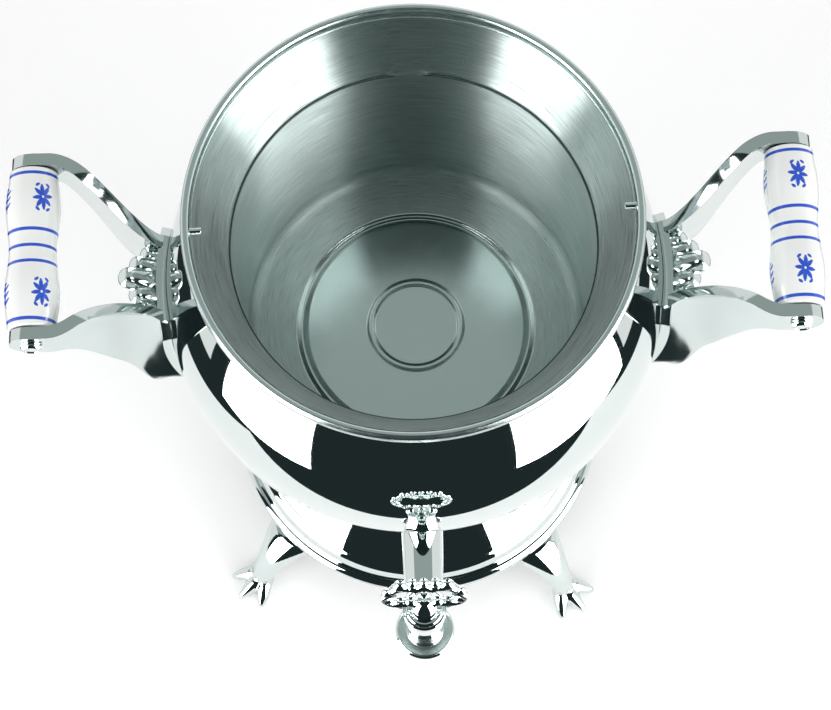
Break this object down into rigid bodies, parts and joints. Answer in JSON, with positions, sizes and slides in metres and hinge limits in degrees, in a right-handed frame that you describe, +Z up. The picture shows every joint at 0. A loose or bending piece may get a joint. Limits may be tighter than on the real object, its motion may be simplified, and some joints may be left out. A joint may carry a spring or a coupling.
{
  "type": "electric samovar",
  "caption": "Electric samovar: round chromed belly on a domed base with claw feet, open brushed tank, porcelain side grips and a front tap with an openwork key.",
  "frame": {"origin": "on the table, on the vertical axis of the round body", "axes": "+Z up, the tap points along -Y, the grips lie on the -X and +X sides"},
  "size_m": [0.3594, 0.273, 0.3458],
  "materials": {
    "chrome": "polished",
    "brushed_steel": "brushed round the axis",
    "plain_steel": "plain",
    "porcelain": "glazed, blue bands and small flowers",
    "black_enamel": "satin",
    "rubber": "matt",
    "silicone": "matt",
    "black_plastic": "fine texture",
    "lamp_lens": "gloss",
    "wire_sleeve": "matt",
    "brass": "turned",
    "cast_aluminium": "cast"
  },
  "bodies": {
    "samovar": {"outer_shell": "chrome", "rim_collar": "brushed_steel", "inner_tank": "brushed_steel", "lid_pins": "plain_steel", "waist_ring": "chrome", "base_dome": "chrome", "bottom_cover": "black_enamel", "cover_screws": "plain_steel", "foot_front_left": "chrome", "foot_front_right": "chrome", "foot_rear_left": "chrome", "foot_rear_right": "chrome", "foot_screws": "plain_steel", "foot_pads": "rubber", "heater_plate": "cast_aluminium", "heating_element": "plain_steel", "thermal_cutout": "black_plastic", "heat_shield": "plain_steel", "tie_rod": "plain_steel", "tie_nuts": "plain_steel", "thermostat": "black_plastic", "wire_loom": "wire_sleeve", "cord_gland": "rubber", "control_bezel": "black_plastic", "pilot_lamp": "lamp_lens", "tap_shank": "chrome", "tap_gaskets": "silicone", "tap_nut": "chrome", "tap_barrel": "chrome", "tap_nozzle": "chrome", "tap_bonnet": "chrome", "handle_bracket_left": "chrome", "handle_bracket_right": "chrome", "handle_bolts": "plain_steel", "grip_left": "porcelain", "grip_right": "porcelain", "grip_rods": "plain_steel", "grip_washers": "rubber", "grip_nuts": "chrome"},
    "tap_turn": {"tap_plug": "brass", "tap_key": "chrome"},
    "control": {"control_shaft": "plain_steel", "control_knob": "black_plastic"}
  },
  "joints": [
    {"name": "tap_key_turn", "type": "hinge", "parent": "samovar", "child": "tap_turn", "pos_m": [0, -0.145, 0.21075], "axis": [0, 0, 1], "range_deg": [0, 90]},
    {"name": "control_knob_turn", "type": "hinge", "parent": "samovar", "child": "control", "pos_m": [0, 0.084, 0.082], "axis": [0, -1, 0], "range_deg": [0, 270]}
  ]
}
